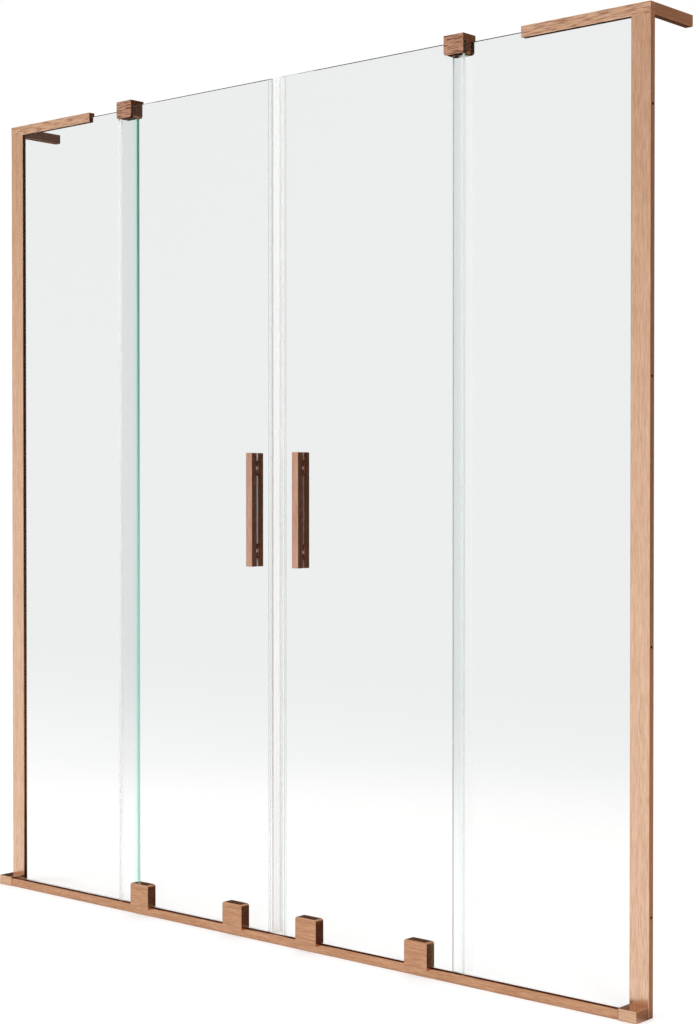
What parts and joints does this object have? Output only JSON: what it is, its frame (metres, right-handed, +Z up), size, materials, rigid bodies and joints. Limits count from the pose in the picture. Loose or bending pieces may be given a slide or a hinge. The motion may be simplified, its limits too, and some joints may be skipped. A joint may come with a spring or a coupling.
{
  "type": "sliding bath screen",
  "caption": "Framed glass bath screen between two walls: sliding panes on rail carriages part in the middle in front of fixed panes, in brushed copper.",
  "frame": {"origin": "middle of the rail's underside, on the bath rim", "axes": "+X along the bath to the right as seen from the room, +Y from the room into the bath, +Z up"},
  "size_m": [1.486, 0.1557, 1.5028],
  "materials": {
    "copper_profile": "brushed copper, grain along the length",
    "copper_fitting": "brushed copper",
    "glass": "clear toughened glass, green edges",
    "clear_seal": "translucent, clear to milky",
    "magnet": "flexible magnet strip",
    "rubber": "matt black",
    "nylon": "off-white nylon",
    "steel": "stainless steel"
  },
  "bodies": {
    "frame": {"bottom_rail": "copper_profile", "clamp_grub_screws": "steel", "end_block_screws": "steel", "fixed_glass_sills": "clear_seal", "left_cover_profile": "copper_profile", "left_fixed_glass": "glass", "left_rail_end_block": "copper_fitting", "left_stabiliser": "copper_profile", "left_top_guide": "copper_fitting", "left_wall_channel": "copper_profile", "profile_gaskets": "rubber", "profile_screws": "steel", "right_cover_profile": "copper_profile", "right_fixed_glass": "glass", "right_rail_end_block": "copper_fitting", "right_stabiliser": "copper_profile", "right_top_guide": "copper_fitting", "right_wall_channel": "copper_profile", "stabiliser_pads": "rubber", "top_guide_liners": "rubber", "top_guide_pads": "rubber"},
    "left_door": {"left_bottom_seal": "clear_seal", "left_carriage_bolts": "copper_fitting", "left_carriage_bushes": "nylon", "left_carriage_pads": "rubber", "left_closing_seal": "clear_seal", "left_door_glass": "glass", "left_edge_seal": "clear_seal", "left_handle_front": "copper_fitting", "left_handle_rear": "copper_fitting", "left_handle_studs": "steel", "left_handle_washers": "copper_fitting", "left_inner_carriage": "copper_fitting", "left_magnet_strip": "magnet", "left_outer_carriage": "copper_fitting", "left_roller_axles": "steel"},
    "right_door": {"right_bottom_seal": "clear_seal", "right_carriage_bolts": "copper_fitting", "right_carriage_bushes": "nylon", "right_carriage_pads": "rubber", "right_closing_seal": "clear_seal", "right_door_glass": "glass", "right_edge_seal": "clear_seal", "right_handle_front": "copper_fitting", "right_handle_rear": "copper_fitting", "right_handle_studs": "steel", "right_handle_washers": "copper_fitting", "right_inner_carriage": "copper_fitting", "right_magnet_strip": "magnet", "right_outer_carriage": "copper_fitting", "right_roller_axles": "steel"},
    "left_outer_wheel": {"left_outer_roller": "nylon", "left_outer_bearing": "steel"},
    "left_inner_wheel": {"left_inner_roller": "nylon", "left_inner_bearing": "steel"},
    "right_outer_wheel": {"right_outer_roller": "nylon", "right_outer_bearing": "steel"},
    "right_inner_wheel": {"right_inner_roller": "nylon", "right_inner_bearing": "steel"}
  },
  "joints": [
    {"name": "left_door_slide", "type": "slide", "parent": "frame", "child": "left_door", "axis": [-1, 0, 0], "range_m": [0, 0.2935]},
    {"name": "left_outer_wheel_spin", "type": "hinge", "parent": "left_door", "child": "left_outer_wheel", "pos_m": [-0.3283, 0, 0.02505], "axis": [0, -1, 0], "range_deg": [0, 1402.4]},
    {"name": "left_inner_wheel_spin", "type": "hinge", "parent": "left_door", "child": "left_inner_wheel", "pos_m": [-0.0878, 0, 0.02505], "axis": [0, -1, 0], "range_deg": [0, 1402.4]},
    {"name": "right_door_slide", "type": "slide", "parent": "frame", "child": "right_door", "axis": [1, 0, 0], "range_m": [0, 0.2935]},
    {"name": "right_outer_wheel_spin", "type": "hinge", "parent": "right_door", "child": "right_outer_wheel", "pos_m": [0.3283, 0, 0.02505], "axis": [0, 1, 0], "range_deg": [0, 1402.4]},
    {"name": "right_inner_wheel_spin", "type": "hinge", "parent": "right_door", "child": "right_inner_wheel", "pos_m": [0.0878, 0, 0.02505], "axis": [0, 1, 0], "range_deg": [0, 1402.4]}
  ],
  "couplings": [
    {"joint": "left_outer_wheel_spin", "follows": "left_door_slide", "rad_per_m": 83.333},
    {"joint": "left_inner_wheel_spin", "follows": "left_door_slide", "rad_per_m": 83.333},
    {"joint": "right_outer_wheel_spin", "follows": "right_door_slide", "rad_per_m": 83.333},
    {"joint": "right_inner_wheel_spin", "follows": "right_door_slide", "rad_per_m": 83.333}
  ]
}
